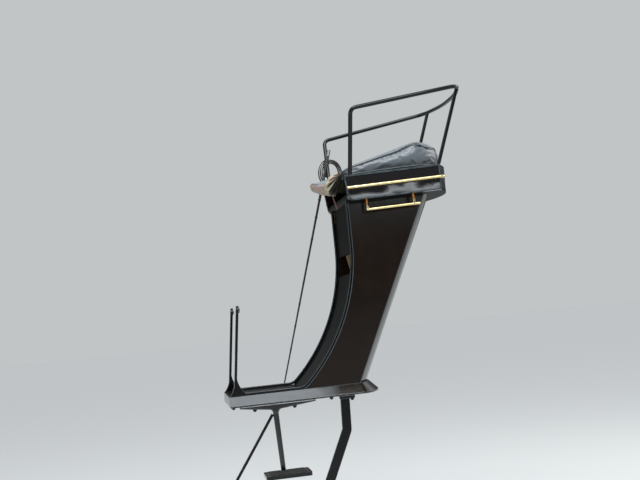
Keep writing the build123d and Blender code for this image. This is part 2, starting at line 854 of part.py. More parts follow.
# stay from the step iron forwards to the carriage frame
with BuildPart() as stay:
    top = Vector(stay_top_x, -step_y, stay_top_z)
    eye = Vector(stay_eye_x, -step_y, stay_eye_z)
    with BuildSketch(Plane(origin=eye, z_dir=top - eye)):
        Circle(stay_radius)
    extrude(amount=(top - eye).length)
    with BuildSketch(upright_plane(-step_y + stay_eye_thick / 2)):
        with Locations((stay_eye_x, stay_eye_z)):
            Circle(stay_eye_radius)
    extrude(amount=stay_eye_thick)
    with BuildSketch(upright_plane(-step_y + stay_eye_thick)):
        with Locations((stay_eye_x, stay_eye_z)):
            Circle(stay_eye_hole / 2)
    extrude(amount=2 * stay_eye_thick, mode=Mode.SUBTRACT)
    add(step_iron.part, mode=Mode.SUBTRACT)
save(stay.part, "stay_rod")

# whip: its foot on the right hand side iron, its upper end against the front post
post_foot = Vector(foot.X, foot_y, foot.Z)
post_top = Vector(rail_front.X, -rail_front.Y, rail_front.Z)
post_way = (post_top - post_foot).normalized()
post_point = post_foot + (post_top - post_foot) * whip_contact
contact_radius = rail_radius + whip_high_radius + soft_gap
touch = post_point
low = Vector(whip_foot_x, riser_half - iron_wide / 2, deck_z + iron_thick)
for _ in range(4):
    way = (touch - low).normalized()
    tilt_out = sqrt(1 - way.Z ** 2)
    low = Vector(low.X, low.Y, deck_z + iron_thick + soft_gap + whip_low_radius * tilt_out)
    away = post_way.cross(way).normalized()
    touch = post_point - away * contact_radius
high = low + way * whip_long
with BuildPart() as whip_stick:
    for end, radius in ((low, whip_low_radius), (high, whip_high_radius)):
        with BuildSketch(Plane(origin=end, z_dir=way)):
            RegularPolygon(radius, whip_sides)
    loft(ruled=True)
save(whip_stick.part, "whip_stick")
with BuildPart() as whip_butt:
    with BuildSketch(Plane(origin=high, z_dir=way)):
        Circle(whip_high_radius + 1.0)
    extrude(amount=whip_cap)
save(whip_butt.part, "whip_butt")

# the looped reins that hang on the outer side of the right hand front post: their outer shape
loop_frame = Plane(
    origin=post_foot + (post_top - post_foot) * loop_place,
    x_dir=(1, 0, 0),
    z_dir=Vector(1, 0, 0).cross(post_way),
)
loop_gap = rail_radius + 5 * soft_gap
with BuildPart() as rein_loop:
    with BuildSketch(loop_frame.offset(-loop_gap - rein_wide)):
        with Locations((loop_shift, 0)):
            SlotOverall(loop_high, loop_wide, rotation=90)
    extrude(amount=rein_wide)
save(rein_loop.part, "rein_loop")

# a strap end that hangs from under the flap
strap_top = seat_high - 2.4 * cushion_front_high - soft_gap
with BuildPart() as strap_end:
    with BuildSketch(seat.offset(strap_top)):
        with Locations((-strap_reach, -strap_y)):
            Rectangle(strap_thick, strap_wide)
    extrude(amount=-strap_long)
    with BuildSketch(seat.offset(strap_top)):
        with Locations((-strap_reach, -strap_y)):
            Rectangle(strap_thick, strap_wide)
    extrude(amount=cushion_front_high)
    add(nose.part, mode=Mode.SUBTRACT)
save(strap_end.part, "strap_end")
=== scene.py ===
"""Looks of the driver's perch of a two-wheeled horse drawn carriage.

X runs rearwards, Y to the right hand side and Z up, in metres. Sizes are written in millimetres, which MM or
seat_point turns into metres.
"""
import json
import math

import bmesh
import bpy
from mathutils import Matrix, Vector, noise
from mathutils.bvhtree import BVHTree


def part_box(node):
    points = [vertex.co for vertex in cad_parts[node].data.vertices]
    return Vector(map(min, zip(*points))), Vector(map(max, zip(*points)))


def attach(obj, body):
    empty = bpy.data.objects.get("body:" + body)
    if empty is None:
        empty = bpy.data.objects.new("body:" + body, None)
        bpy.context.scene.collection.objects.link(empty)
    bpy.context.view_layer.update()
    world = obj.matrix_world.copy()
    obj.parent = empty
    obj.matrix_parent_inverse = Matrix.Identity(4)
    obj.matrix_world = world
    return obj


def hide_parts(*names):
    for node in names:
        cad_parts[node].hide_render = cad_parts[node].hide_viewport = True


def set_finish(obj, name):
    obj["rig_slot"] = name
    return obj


MM = 0.001

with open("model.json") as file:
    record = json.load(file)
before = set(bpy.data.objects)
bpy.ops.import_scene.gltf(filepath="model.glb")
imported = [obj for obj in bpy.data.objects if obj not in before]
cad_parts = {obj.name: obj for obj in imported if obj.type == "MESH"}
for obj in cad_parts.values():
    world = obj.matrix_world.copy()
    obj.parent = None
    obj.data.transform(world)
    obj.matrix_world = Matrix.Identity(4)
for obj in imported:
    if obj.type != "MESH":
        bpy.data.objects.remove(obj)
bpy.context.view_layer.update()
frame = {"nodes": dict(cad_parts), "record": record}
nodes = frame["nodes"]
bpy.ops.object.select_all(action="DESELECT")

# the camera stands off the left hand side, a little forward of the seat and below it
camera_right = Vector((0.984, -0.14627, -0.10169))
camera_up = Vector((0.08872, -0.09264, 0.99174))
camera_forward = Vector((0.15448, 0.9849, 0.07818))
camera_data = bpy.data.cameras.new("camera")
camera_data.sensor_width = 36.0
camera_data.lens = 56.8
camera_place = (-0.182, -3.7, 0.2534)
camera = bpy.data.objects.new("camera", camera_data)
bpy.context.scene.collection.objects.link(camera)
turn = Matrix((camera_right, camera_up, -camera_forward)).transposed().to_4x4()
camera.matrix_world = Matrix.Translation(camera_place) @ turn
bpy.context.scene.camera = camera


# the seat box's own frame: it rises a little to the rear
seat_tilt = math.radians(2.35)
seat_origin = Vector((472.0, 0.0, 657.0)) * MM
seat_along = Vector((math.cos(seat_tilt), 0.0, math.sin(seat_tilt)))
seat_up = Vector((-math.sin(seat_tilt), 0.0, math.cos(seat_tilt)))
seat_high = 91.5


def seat_point(x, y, z):
    """A point given in millimetres in the seat box's frame."""
    return seat_origin + (seat_along * x + Vector((0.0, y, 0.0)) + seat_up * z) * MM


def mix(first, second, part):
    return first + (second - first) * part


def smooth_step(low, high, value):
    """From 0 at low to 1 at high, with soft ends."""
    part = min(1.0, max(0.0, (value - low) / (high - low)))
    return part * part * (3.0 - 2.0 * part)


# colours and nodes
def linear(code):
    """The linear colour of an sRGB hex value."""
    values = [int(code[i:i + 2], 16) / 255 for i in (1, 3, 5)]
    return [v / 12.92 if v <= 0.04045 else ((v + 0.055) / 1.055) ** 2.4 for v in values] + [1.0]


def set_input(tree, socket, value):
    """Gives a socket its value, or links it to another node's output."""
    if isinstance(value, bpy.types.NodeSocket):
        tree.links.new(value, socket)
    else:
        socket.default_value = value


def feed(tree, node, values):
    """Sets a node's properties and inputs, by name."""
    for name, value in values.items():
        if name in node.bl_rna.properties:
            setattr(node, name, value)
        else:
            set_input(tree, node.inputs[name], value)


def add_node(tree, kind, values=None):
    """Adds a node with its properties and inputs."""
    made = tree.nodes.new(kind)
    feed(tree, made, values or {})
    return made


def start_material(name):
    """A material with a shader and object coordinates, ready for its nodes."""
    material = bpy.data.materials.new(name)
    material.use_nodes = True
    tree = material.node_tree
    place = add_node(tree, "ShaderNodeTexCoord").outputs["Object"]
    return material, tree, tree.nodes["Principled BSDF"], place


def speckle(tree, place, scale, detail, roughness=0.5, distortion=0.0):
    """A noise value with about scale spots to the metre."""
    return add_node(tree, "ShaderNodeTexNoise", {
        "Vector": place, "Scale": scale, "Detail": detail, "Roughness": roughness, "Distortion": distortion,
    }).outputs["Fac"]


def pores(tree, place, scale):
    """A value that rises from the middle of each small cell of a hide."""
    return add_node(tree, "ShaderNodeTexVoronoi", {"Vector": place, "Scale": scale}).outputs["Distance"]


def spread(tree, value, low, high, first=0.0, last=1.0):
    """Takes a value's range from low to high to the range from first to last, and holds it there."""
    return add_node(tree, "ShaderNodeMapRange", {
        "Value": value, "From Min": low, "From Max": high, "To Min": first, "To Max": last,
    }).outputs["Result"]


def set_ramp(tree, value, stops):
    """A colour that goes through stops, places with linear colours, as a value rises."""
    ramp = add_node(tree, "ShaderNodeValToRGB", {"Fac": value})
    elements = ramp.color_ramp.elements
    while len(elements) < len(stops):
        elements.new(0.5)
    for element, (spot, colour) in zip(elements, stops):
        element.position = spot
        element.color = colour
    return ramp.outputs["Color"]


def two_tones(tree, value, low, dark, high, pale):
    """A colour that goes from one sRGB tone to another as a value goes from low to high."""
    return set_ramp(tree, value, ((low, linear(dark)), (high, linear(pale))))


def bumped(tree, height, strength, distance, under=None):
    """The normal of a surface with a height on it, over the normal under it."""
    values = {"Height": height, "Strength": strength, "Distance": distance}
    if under is not None:
        values["Normal"] = under
    return add_node(tree, "ShaderNodeBump", values).outputs["Normal"]


def rounded(tree, radius, samples=8):
    """The normal of a surface with its edges rounded off."""
    return add_node(tree, "ShaderNodeBevel", {"samples": samples, "Radius": radius}).outputs["Normal"]


def along(tree, vector, way):
    """How far a vector reaches along a way, which is fixed or another node's output."""
    made = add_node(tree, "ShaderNodeVectorMath", {"operation": "DOT_PRODUCT"})
    set_input(tree, made.inputs[0], vector)
    set_input(tree, made.inputs[1], way)
    return made.outputs["Value"]


def blend(tree, part, first, second, kind="MIX"):
    """Mixes two colours by a part; each is a linear colour or another node's output."""
    both = add_node(tree, "ShaderNodeMix", {"data_type": "RGBA", "blend_type": kind})
    # the sockets of the part and of the two colours
    for number, value in ((0, part), (6, first), (7, second)):
        set_input(tree, both.inputs[number], value)
    return both.outputs[2]


def painted_edge_highlight(tree, turned):
    """How much painted highlight an edge gets: 0 on a flat face and 1 where the rounded normal turns away
    from it.
    """
    flat = add_node(tree, "ShaderNodeNewGeometry").outputs["Normal"]
    return spread(tree, along(tree, turned, flat), 0.995, 0.9)


def coach_enamel(name, shine, bare_way=None, bare_edge=None):
    """Coach varnish over black paint: deep brown-black, hazed by dust, with a painted grey highlight on its
    edges.

    shine is the level of its reflection. Faces that look along bare_way, inside the riser, show bare wood
    painted paler than it is, as painted light in the pocket, beyond bare_edge, a direction and how far along
    it a painted shadow edge lies; in front of that edge the black enamel stands for painted shade.
    """
    material, tree, shader, place = start_material(name)
    tone = two_tones(tree, speckle(tree, place, 9.0, 4.0, 0.6), 0.3, "#140e0a", 0.7, "#1b130d")
    edge = rounded(tree, 0.003)
    # the edges turn grey: a painted highlight
    shown = blend(tree, painted_edge_highlight(tree, edge), tone, linear("#5b646a"))
    if bare_way:
        past = 1.0
        if bare_edge:
            # the painted shadow edge: in front of it the black enamel stays as painted shade
            past = spread(tree, along(tree, place, bare_edge[0]), bare_edge[1], bare_edge[1] + MM)
        true_way = add_node(tree, "ShaderNodeNewGeometry").outputs["True Normal"]
        bare = spread(tree, along(tree, true_way, bare_way), 0.6, 0.7, 0.0, past)
        # bare wood made paler than it is: painted light inside the pocket
        wood = blend(tree, speckle(tree, place, 60.0, 5.0), linear("#a5825c"), linear("#efcf9f"))
        shown = blend(tree, bare, shown, wood)
    feed(tree, shader, {
        "Base Color": shown,
        "Roughness": spread(tree, speckle(tree, place, 30.0, 2.0), 0.3, 0.7, 0.13, 0.18),
        "Normal": edge,
        "Specular IOR Level": shine,
    })
    return material


def forged_enamel(name, shine, rounding):
    """Black gloss enamel brushed on forged iron: a slightly uneven skin with soft hammer marks under it,
    and a painted grey highlight on its edges.

    shine is the level of its reflection, and the paint softens its edges over the radius rounding.
    """
    material, tree, shader, place = start_material(name)
    edge = rounded(tree, rounding / 2)
    feed(tree, shader, {
        # the edges turn grey: a painted highlight
        "Base Color": blend(tree, painted_edge_highlight(tree, edge), linear("#08090a"), linear("#4d565c")),
        "Roughness": spread(tree, speckle(tree, place, 40.0, 2.0), 0.3, 0.7, 0.07, 0.11),
        "Normal": bumped(tree, speckle(tree, place, 60.0, 2.0), 0.1, 0.0004, rounded(tree, rounding)),
        "Specular IOR Level": shine,
    })
    return material


def patent_leather():
    """Patent leather stretched over board: black and wet looking, with slow waves in the hide."""
    material, tree, shader, place = start_material("patent_leather")
    slow = bumped(tree, speckle(tree, place, 9.0, 1.0, 0.4), 0.5, 0.003)
    fine = bumped(tree, speckle(tree, place, 420.0, 2.0), 0.05, 0.0004, slow)
    feed(tree, shader, {
        "Base Color": linear("#110e10"),
        "Roughness": 0.35,
        "Normal": fine,
        "Specular IOR Level": 0.15,
        "Coat Weight": 1.0,
        "Coat Roughness": 0.01,
        "Coat Normal": fine,
    })
    return material


def bead_enamel():
    """Painted half round beading: black paint given a grey base colour all over, varied at random, as a
    painted reflection of the sky.
    """
    material, tree, shader, place = start_material("bead_enamel")
    sheen_noise = speckle(tree, place, 25.0, 4.0, 0.6)
    feed(tree, shader, {
        # grey base colour: a painted reflection of the sky on black paint
        "Base Color": two_tones(tree, sheen_noise, 0.35, "#23292c", 0.65, "#4b555a"),
        "Roughness": 0.22,
        "Normal": rounded(tree, 0.0015, 4),
    })
    return material


def dull_black():
    """Thin black paint under the seat and behind the legs: dull, with brush marks and road dust."""
    material, tree, shader, place = start_material("dull_black")
    dust = speckle(tree, place, 18.0, 5.0, 0.65)
    feed(tree, shader, {
        "Base Color": two_tones(tree, dust, 0.35, "#090a08", 0.7, "#141510"),
        "Roughness": 0.5,
        "Specular IOR Level": 0.06,
    })
    return material


def polished_brass(name, reflection_low=None, reflection_high=None):
    """Polished brass bar: warm yellow metal with fine rubbing marks.

    Between two heights over the seat box's underside it is given a coppery brown band: a painted reflection
    of brown surroundings.
    """
    material, tree, shader, place = start_material(name)
    shown = two_tones(tree, speckle(tree, place, 45.0, 4.0, 0.65), 0.3, "#d4b878", 0.7, "#ecdcae")
    if reflection_low is not None:
        # a coppery brown band between two heights: a painted reflection
        foot = seat_origin.dot(seat_up)
        painted_reflection = spread(tree, along(tree, place, seat_up), foot + reflection_low, foot + reflection_high)
        shown = blend(tree, painted_reflection, shown, linear("#b8743c"))
    feed(tree, shader, {
        "Base Color": shown,
        "Roughness": spread(tree, speckle(tree, place, 700.0, 2.0), 0.3, 0.7, 0.1, 0.16),
        "Metallic": 1.0,
    })
    return material


def rough_stuff(name, height, tones, roughness, strength, distance):
    """A material's tones and small bumps from one height, a function of the tree and the place.

    tones are a low value and its sRGB tone, and a high value and its tone.
    """
    material, tree, shader, place = start_material(name)
    value = height(tree, place)
    feed(tree, shader, {
        "Base Color": two_tones(tree, value, *tones),
        "Roughness": roughness,
        "Normal": bumped(tree, value, strength, distance),
    })
    return material


def tread_rubber():
    """Moulded rubber matting: dull black, greyed by dust in its grooves."""
    return rough_stuff("tread_rubber", lambda tree, place: speckle(tree, place, 90.0, 5.0, 0.7),
                       (0.4, "#1b1a19", 0.7, "#3a3734"), 0.65, 0.3, 0.0005)


def bare_board(name, dark, pale, run):
    """Bare board with straight grain, which is fine across it and drawn out along it.

    As bare_ash it is pale brown, and as old_board, under the seat, grey-brown with age and oil.
    """
    def grain(tree, place):
        drawn = add_node(tree, "ShaderNodeMapping", {"Vector": place, "Scale": run}).outputs["Vector"]
        return speckle(tree, drawn, 1.0, 5.0, 0.6)

    return rough_stuff(name, grain, (0.3, dark, 0.7, pale), 0.6, 0.3, 0.0004)


def varnished_holly():
    """Stained and varnished whip wood: dark brown with small knots."""
    return rough_stuff("varnished_holly", lambda tree, place: speckle(tree, place, 35.0, 3.0, 0.6),
                       (0.35, "#17100c", 0.7, "#3b281c"), 0.28, 0.4, 0.0008)


def tan_leather():
    """Unblacked bridle leather: reddish brown, dry, with a paler worn face."""
    return rough_stuff("tan_leather", lambda tree, place: speckle(tree, place, 90.0, 4.0, 0.6),
                       (0.35, "#3c1f15", 0.7, "#764732"), 0.55, 0.3, 0.0004)


def waxed_binding():
    """Waxed thread wound tight round the whip's grip: black, with a fine ridge to each turn."""
    def winding(tree, place):
        return add_node(tree, "ShaderNodeTexWave", {
            "bands_direction": "Z", "Vector": place, "Scale": 160.0, "Distortion": 0.6,
        }).outputs["Fac"]

    return rough_stuff("waxed_binding", winding, (0.2, "#0f0d0c", 0.8, "#2a2421"), 0.38, 0.6, 0.0006)


def nickel_cap():
    """Nickel plated cap, dulled by handling."""
    material, tree, shader, place = start_material("nickel_cap")
    feed(tree, shader, {
        "Base Color": linear("#85878a"),
        "Roughness": spread(tree, speckle(tree, place, 400.0, 3.0), 0.3, 0.7, 0.25, 0.4),
        "Metallic": 1.0,
    })
    return material


def worn_steel():
    """Bare steel bolt heads, scuffed bright by spanners, with a grey film."""
    material, tree, shader, place = start_material("worn_steel")
    film = speckle(tree, place, 220.0, 4.0, 0.6)
    feed(tree, shader, {
        "Base Color": two_tones(tree, film, 0.35, "#6f7173", 0.65, "#b4b5b4"),
        "Roughness": spread(tree, film, 0.3, 0.7, 0.28, 0.5),
        "Metallic": 1.0,
    })
    return material


def harness_leather():
    """Harness leather: dark brown and waxed, with the pores of the hide in its face."""
    material, tree, shader, place = start_material("harness_leather")
    hide = speckle(tree, place, 70.0, 4.0, 0.6)
    feed(tree, shader, {
        "Base Color": two_tones(tree, hide, 0.35, "#1a0f0b", 0.7, "#34221a"),
        "Roughness": 0.55,
        "Normal": bumped(tree, pores(tree, place, 800.0), 0.35, 0.0004),
    })
    return material


def cushion_hide():
    """Black upholstery hide, waxed and soft, its base colour painted mid grey as a painted sheen of the sky;
    fine grain and small creases.
    """
    material, tree, shader, place = start_material("cushion_hide")
    crease = speckle(tree, place, 26.0, 4.0, 0.55, 0.6)
    soft = bumped(tree, crease, 0.06, 0.002)
    feed(tree, shader, {
        # mid grey base on black hide: a painted sheen
        "Base Color": two_tones(tree, crease, 0.3, "#52595f", 0.7, "#5c646a"),
        "Roughness": spread(tree, crease, 0.3, 0.7, 0.34, 0.4),
        "Normal": bumped(tree, pores(tree, place, 520.0), 0.2, 0.0003, soft),
        "Specular IOR Level": 0.8,
    })
    return material


def worn_hide():
    """Hide with its black finish worn off in patches: taupe and khaki, cracked across the bends; its colour
    attribute also carries painted light and shade.
    """
    material, tree, shader, place = start_material("worn_hide")
    shown = add_node(tree, "ShaderNodeAttribute", {"attribute_name": "hide_tone"}).outputs["Color"]
    crack = speckle(tree, place, 150.0, 6.0, 0.75, 1.0)
    line = two_tones(tree, crack, 0.34, "#7a6e69", 0.5, "#ffffff")
    feed(tree, shader, {
        "Base Color": blend(tree, 0.5, shown, line, "MULTIPLY"),
        "Roughness": 0.5,
        "Normal": bumped(tree, crack, 0.4, 0.0005),
        "Specular IOR Level": 0.3,
    })
    return material


ENAMEL = coach_enamel("coach_enamel", 0.3)
BOARD = coach_enamel("footboard_enamel", 0.65)
# the back panel's inner face is pale wood, made paler than it is as painted light in the pocket
BACK_PANEL = coach_enamel("back_panel_enamel", 0.5, (-1.0, 0.0, 0.0))
# on the riser's inner faces a painted shadow edge runs on a slant behind the pocket's opening: black enamel
# in front of it as painted shade, pale wood beyond it as painted light
pocket_shadow_edge = ((1.0, 0.0, 0.2174), 622.0 * MM)
LEFT_PANEL = coach_enamel("left_panel_enamel", 0.3, (0.0, 1.0, 0.0), pocket_shadow_edge)
RIGHT_PANEL = coach_enamel("right_panel_enamel", 0.3, (0.0, -1.0, 0.0), pocket_shadow_edge)
IRON = forged_enamel("rail_enamel", 0.36, 0.0005)
STEP_IRON = forged_enamel("step_enamel", 0.26, 0.006)
LEG_IRON = forged_enamel("leg_enamel", 0.7, 0.009)
PATENT = patent_leather()
BRASS = polished_brass("polished_brass")
# the grab rails' brass carries a painted brown reflection on its arms
GRAB_BRASS = polished_brass("brass_painted_reflection", -26.0 * MM, -16.0 * MM)
RUBBER = tread_rubber()
ASH = bare_board("bare_ash", "#8f7556", "#c3a581", (8.0, 160.0, 160.0))
OLD_BOARD = bare_board("old_board", "#2f2b20", "#4c4735", (150.0, 6.0, 150.0))
BEAD = bead_enamel()
DULL = dull_black()
HOLLY = varnished_holly()
NICKEL = nickel_cap()
HARNESS = harness_leather()
HIDE = cushion_hide()
WORN = worn_hide()
TAN = tan_leather()
BINDING = waxed_binding()
WORN_STEEL = worn_steel()

finishes = {
    "coach_black": ENAMEL,
    "iron_black": IRON,
    "patent_leather": PATENT,
    "brass": BRASS,
    "cushion_leather": HIDE,
    "worn_leather": WORN,
    "rubber": RUBBER,
    "bare_wood": ASH,
    "whip_wood": HOLLY,
    "steel_cap": NICKEL,
    "strap_leather": HARNESS,
}
for subpart in frame["record"]["subparts"]:
    for material_slot in nodes[subpart["node"]].material_slots:
        material_slot.material = finishes[subpart["material_slot"]]
for name, finish in (
    ("footboard", BOARD),
    ("footboard_moulding", BOARD),
    ("riser_back", BACK_PANEL),
    ("riser_side_left", LEFT_PANEL),
    ("riser_side_right", RIGHT_PANEL),
    ("riser_front_lower", DULL),
    ("riser_front_upper", DULL),
    ("seat_lid", OLD_BOARD),
    ("seat_floor", DULL),
    ("seat_front", DULL),
    ("grab_rail_left", GRAB_BRASS),
    ("grab_rail_right", GRAB_BRASS),
    ("step_iron", LEG_IRON),
    ("bent_step_iron", STEP_IRON),
    ("stay_rod", STEP_IRON),
    ("side_iron_left", STEP_IRON),
    ("side_iron_right", STEP_IRON),
    ("seat_bead_left", BEAD),
    ("seat_bead_right", BEAD),
):
    for material_slot in nodes[name].material_slots:
        material_slot.material = finish


def pick(piece):
    """Selects a piece alone and makes it the active one."""
    bpy.ops.object.select_all(action="DESELECT")
    piece.select_set(True)
    bpy.context.view_layer.objects.active = piece


def edit_mesh(*steps):
    """Runs mesh operators, each with its settings, on every face of the active piece."""
    bpy.ops.object.mode_set(mode="EDIT")
    for operator, settings in steps:
        bpy.ops.mesh.select_all(action="SELECT")
        operator(**settings)
    bpy.ops.object.mode_set(mode="OBJECT")


def link_new(name, data):
    """A new object of the scene with its data."""
    made = bpy.data.objects.new(name, data)
    bpy.context.scene.collection.objects.link(made)
    return made


def settle(piece, material, slot, angle=35.0):
    """Puts a piece's place into its mesh, shades it, and gives it its finish and its body."""
    pick(piece)
    bpy.ops.object.transform_apply(location=True, rotation=True, scale=True)
    bpy.ops.object.shade_smooth_by_angle(angle=math.radians(angle))
    piece.data.materials.clear()
    piece.data.materials.append(material)
    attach(piece, "root")
    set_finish(piece, slot)
    return piece


def name_piece(name):
    """Names the primitive that was just added."""
    piece = bpy.context.object
    piece.name = name
    piece.data.name = name
    return piece


def apply_modifier(piece, kind, **settings):
    """Adds a modifier with its settings and applies it."""
    pick(piece)
    added = piece.modifiers.new(kind.lower(), kind)
    for name, value in settings.items():
        setattr(added, name, value)
    bpy.ops.object.modifier_apply(modifier=added.name)


def facing(origin, axis):
    """The matrix that takes a piece modelled along +Z at the origin to a place and direction."""
    return Matrix.Translation(origin) @ Vector(axis).to_track_quat("Z", "Y").to_matrix().to_4x4()


def place_copy(model, name, matrix):
    """A copy with its own mesh, moved by a matrix."""
    piece = link_new(name, model.data.copy())
    piece.data.transform(matrix)
    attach(piece, "root")
    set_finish(piece, model["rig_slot"])
    return piece


def mesh_piece(name, points, faces):
    """A new piece from points and faces, with its faces turned outwards."""
    mesh = bpy.data.meshes.new(name)
    mesh.from_pydata([tuple(p) for p in points], [], faces)
    work = bmesh.new()
    work.from_mesh(mesh)
    bmesh.ops.recalc_face_normals(work, faces=work.faces)
    work.to_mesh(mesh)
    work.free()
    return link_new(name, mesh)


def bridge(first, second, count):
    """The faces between two rings of points, from the number of each ring's first point."""
    return [(first + k, first + (k + 1) % count, second + (k + 1) % count, second + k) for k in range(count)]


def strap(name, line, across, wide, thick, tips=(True, True)):
    """A flat strap with rounded edges along a line of points.

    across is its width's direction at each point, and tips tell which of its two ends are rounded in plan.
    """
    edge = 0.3 * thick
    half = wide / 2
    low = thick / 2
    section = (
        (-half, edge - low), (edge - half, -low), (half - edge, -low), (half, edge - low),
        (half, low - edge), (half - edge, low), (edge - half, low), (-half, low - edge),
    )
    points = []
    count = len(line)
    tip_long = 0.45 * wide
    least_narrow = 0.12
    run = [0.0]
    for first, second in zip(line, line[1:]):
        run.append(run[-1] + (second - first).length)
    for i, place in enumerate(line):
        ahead = (line[min(i + 1, count - 1)] - line[max(i - 1, 0)]).normalized()
        side = (across[i] - ahead * across[i].dot(ahead)).normalized()
        normal = side.cross(ahead)
        reach = min(run[i] if tips[0] else tip_long, run[-1] - run[i] if tips[1] else tip_long, tip_long)
        narrow = max(least_narrow, math.sqrt(max(0.0, 1.0 - (1.0 - reach / tip_long) ** 2)))
        points.extend(place + side * u * narrow + normal * v for u, v in section)
    sides = len(section)
    faces = []
    for i in range(count - 1):
        faces.extend(bridge(sides * i, sides * (i + 1), sides))
    faces.append(tuple(range(sides)))
    faces.append(tuple(sides * (count - 1) + k for k in range(sides)))
    return mesh_piece(name, points, faces)


def spline_line(name, route, spacing):
    """Evenly spaced points on the NURBS spline of a route."""
    curve = bpy.data.curves.new(name, "CURVE")
    curve.dimensions = "3D"
    spline = curve.splines.new("NURBS")
    spline.points.add(len(route) - 1)
    for point, place in zip(spline.points, route):
        point.co = (*place, 1.0)
    spline.order_u = 3
    spline.use_endpoint_u = True
    spline.resolution_u = 16
    holder = link_new(name, curve)
    bpy.context.view_layer.update()
    mesh = bpy.data.meshes.new_from_object(holder)
    raw = [v.co.copy() for v in mesh.vertices]
    bpy.data.objects.remove(holder)
    bpy.data.meshes.remove(mesh)
    line = [raw[0]]
    left = spacing
    for first, second in zip(raw, raw[1:]):
        length = (second - first).length
        while length > left:
            first = first + (second - first).normalized() * left
            line.append(first)
            length = (second - first).length
            left = spacing
        left -= length
    line.append(raw[-1])
    return line


# the reins' looped end: a coil of strap that hangs on the outer side of the right hand front post
rein_wide = 22.0 * MM
rein_thick = 3.2 * MM
post_foot = Vector((494.2, 220.0, 749.5)) * MM
post_top = Vector((504.0, 303.0, 971.0)) * MM
post_way = (post_top - post_foot).normalized()
# the coil hangs upright by its own weight, clear of the post's outer side
coil_in = Vector((-0.08, -0.99, -0.05)).normalized()
coil_across = Vector((0.0, 0.0, 1.0)).cross(coil_in).normalized()
coil_up = coil_in.cross(coil_across)
coil_low, coil_high = (Vector(corner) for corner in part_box("rein_loop"))
coil_middle = (coil_low + coil_high) / 2 + Vector((0.0, 26.0, 9.0)) * MM
coil_steps = 14
# half width, half height and place along the coil's axis at the start of each turn, in millimetres
coil_turns = ((51.0, 62.0, -6.0), (44.0, 55.0, -2.0), (37.0, 48.0, 2.0), (30.0, 41.0, 6.0))
# how far the top of each turn lies under the one before
coil_top_step = 6.6
# the end of the strap hangs down inside the coil
coil_tail = (
    (-11.0, 39.0, 6.5), (-18.0, 29.0, 7.0), (-19.0, 14.0, 7.0), (-16.0, 0.0, 7.0), (-15.0, -16.0, 7.0),
)


def coil_point(x, up, inward):
    """A place in millimetres across, up and inwards from the coil's middle."""
    return coil_middle + (coil_across * x + coil_up * up + coil_in * inward) * MM


rein_route = []
for step in range((len(coil_turns) - 1) * coil_steps + 1):
    turns = step / coil_steps
    row = min(int(turns), len(coil_turns) - 2)
    wide, high, inward = (mix(a, b, turns - row) for a, b in zip(coil_turns[row], coil_turns[row + 1]))
    angle = math.pi / 2 + math.tau * turns
    lift = coil_turns[0][1] - coil_top_step * turns - high
    rein_route.append(coil_point(wide * math.cos(angle), lift + high * math.sin(angle), inward))
rein_route.extend(coil_point(*place) for place in coil_tail)
rein_line = spline_line("rein_route", rein_route, 3.0 * MM)
# the strap turns its face as it hangs: the turn's start and end, counted in points from the line's end
twist_start = 24
twist_stop = 8
most_twist = math.radians(70.0)
rein_across = []
for i in range(len(rein_line)):
    twist = most_twist * smooth_step(len(rein_line) - twist_start, len(rein_line) - twist_stop, i)
    rein_across.append(coil_in * math.cos(twist) + coil_across * math.sin(twist))
reins = strap("reins", rein_line, rein_across, rein_wide, rein_thick, (False, True))
settle(reins, HARNESS, "strap_leather", 50.0)
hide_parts("rein_loop")

# the keeper: a narrow strap round the post, on which the coil hangs
keeper_reach = 36.0 * MM
keeper_radius = 10.0 * MM
keeper_height = 880.0 * MM
keeper_on_post = post_foot + post_way * (keeper_height - post_foot.z) / post_way.z
keeper_out = post_way.cross(Vector((1.0, 0.0, 0.0))).normalized()
keeper_steps = 40
keeper_line = []
for step in range(keeper_steps + 1):
    angle = math.tau * step / keeper_steps
    spot = Vector((keeper_radius * math.cos(angle), keeper_radius * math.sin(angle)))
    stretch = keeper_reach * smooth_step(-0.3, 0.6, math.sin(angle))
    keeper_line.append(keeper_on_post + Vector((spot.x, 0.0, 0.0)) + keeper_out * (spot.y + stretch))
keeper_across = [post_way] * len(keeper_line)
keeper = strap("rein_keeper", keeper_line, keeper_across, 12.0 * MM, 2.2 * MM, (False, False))
settle(keeper, HARNESS, "strap_leather", 50.0)


# cushion: boxed and wedge shaped, swollen by a cloth simulation, with a welt round its top edge
cushion_half = 203.0
cushion_front = 3.0
cushion_rear = 337.0
cushion_bow = 62.0
# distance from the front, and height of the welt over the rim there
cushion_profile = (
    (-10.0, 17.0), (0.0, 19.0), (40.0, 33.0), (150.0, 60.0), (290.0, 94.0), (326.0, 95.0), (420.0, 93.0),
)
# how far its underside lies over the rim, and its top's middle over the welt
cushion_clear = 0.6
cushion_crown = 3.0
# how far its top falls at the rear, and from what share of its length
cushion_fall = 24.0
fall_start = 0.72
# its sides swell from a line across the box at this distance from the front
cushion_swell = 3.0
swell_middle = 190.0
# the radius of its corners in plan
front_corner = 24.0
rear_corner = 52.0


def cushion_height(x):
    """The welt's height over the rim."""
    for (low, first), (high, second) in zip(cushion_profile, cushion_profile[1:]):
        if x <= high:
            return mix(first, second, (x - low) / (high - low))
    return cushion_profile[-1][1]


